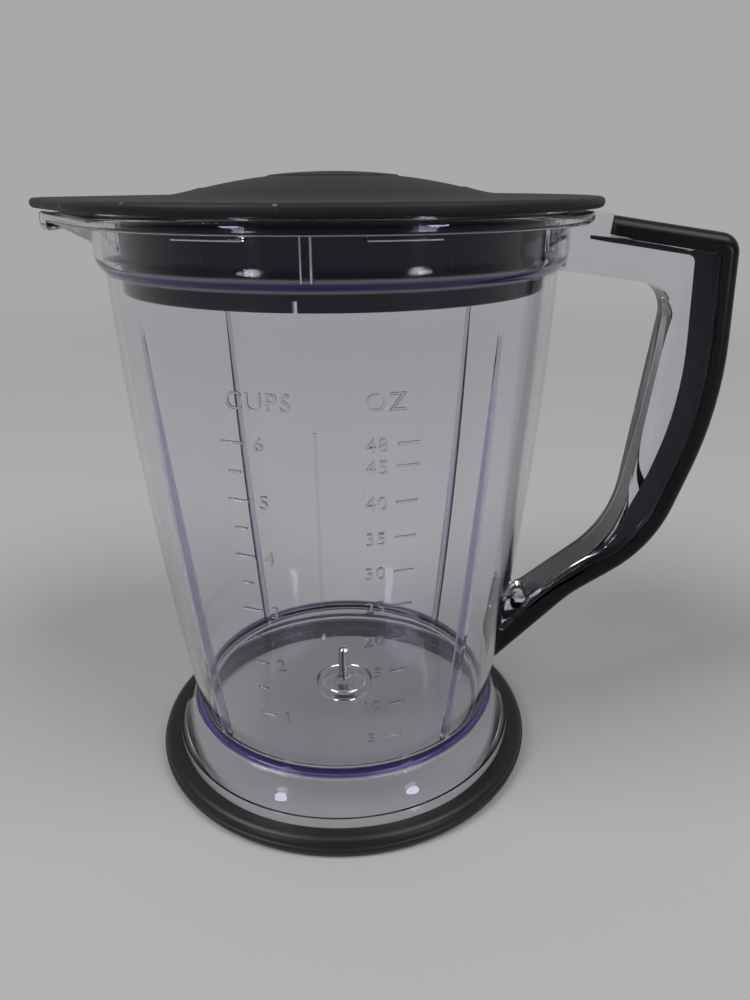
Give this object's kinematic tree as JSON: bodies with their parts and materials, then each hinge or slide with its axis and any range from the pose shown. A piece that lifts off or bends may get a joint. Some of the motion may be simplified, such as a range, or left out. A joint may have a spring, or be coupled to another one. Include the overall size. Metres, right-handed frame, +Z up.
{
  "type": "blender jar",
  "caption": "Tall tapered clear plastic blender jar with pouring spout, gripped side handle, upright spindle pin in the floor, rubber foot ring and a black lid resting on the rim.",
  "frame": {"origin": "on the table under the jar's axis, in the plane of the foot ring's resting face", "axes": "+Z up along the jar's axis, +X towards the handle, -X towards the spout, -Y towards the front"},
  "size_m": [0.2229, 0.165, 0.2086],
  "materials": {
    "clear_plastic": "clear and polished, with a faint violet tint in thick edges",
    "grip_black": "smooth soft-touch, satin",
    "lid_black": "fine matte top, glossy plug skirt",
    "foot_rubber": "matte rubber",
    "pin_steel": "ground steel"
  },
  "bodies": {
    "root": {"jar": "clear_plastic", "handle_grip": "grip_black", "lid": "lid_black", "foot_ring": "foot_rubber", "spindle_pin": "pin_steel"}
  },
  "joints": []
}
